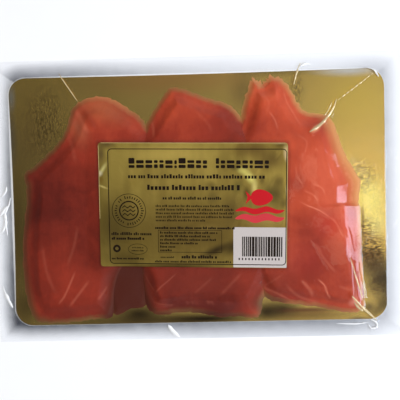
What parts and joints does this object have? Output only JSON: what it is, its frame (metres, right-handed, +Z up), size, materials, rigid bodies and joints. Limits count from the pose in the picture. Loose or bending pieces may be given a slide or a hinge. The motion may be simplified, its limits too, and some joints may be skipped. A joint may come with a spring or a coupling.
{
  "type": "pack of smoked salmon",
  "caption": "Flat vacuum pack of sliced smoked salmon on a gold card, in a clear sealed pouch with a stuck-on label.",
  "frame": {"origin": "on the table, under the middle of the card and of the pouch", "axes": "+X along the pack's longer side, to the right of the label's text as it is read; +Y towards the pack's upper edge as the label is read; +Z up, out of the label side"},
  "size_m": [0.294, 0.204, 0.0085],
  "materials": {
    "film": "thin clear glossy film, drawn tight, with sharp folds",
    "label_foil": "satin gold foil paper",
    "card": "gold-faced board with a fine emboss",
    "fish": "moist, slightly oily, with pale fat lines",
    "print_black": "printed ink",
    "print_red": "printed ink",
    "print_white": "printed ink"
  },
  "bodies": {
    "root": {"bag": "film", "label": "label_foil"}
  },
  "joints": []
}
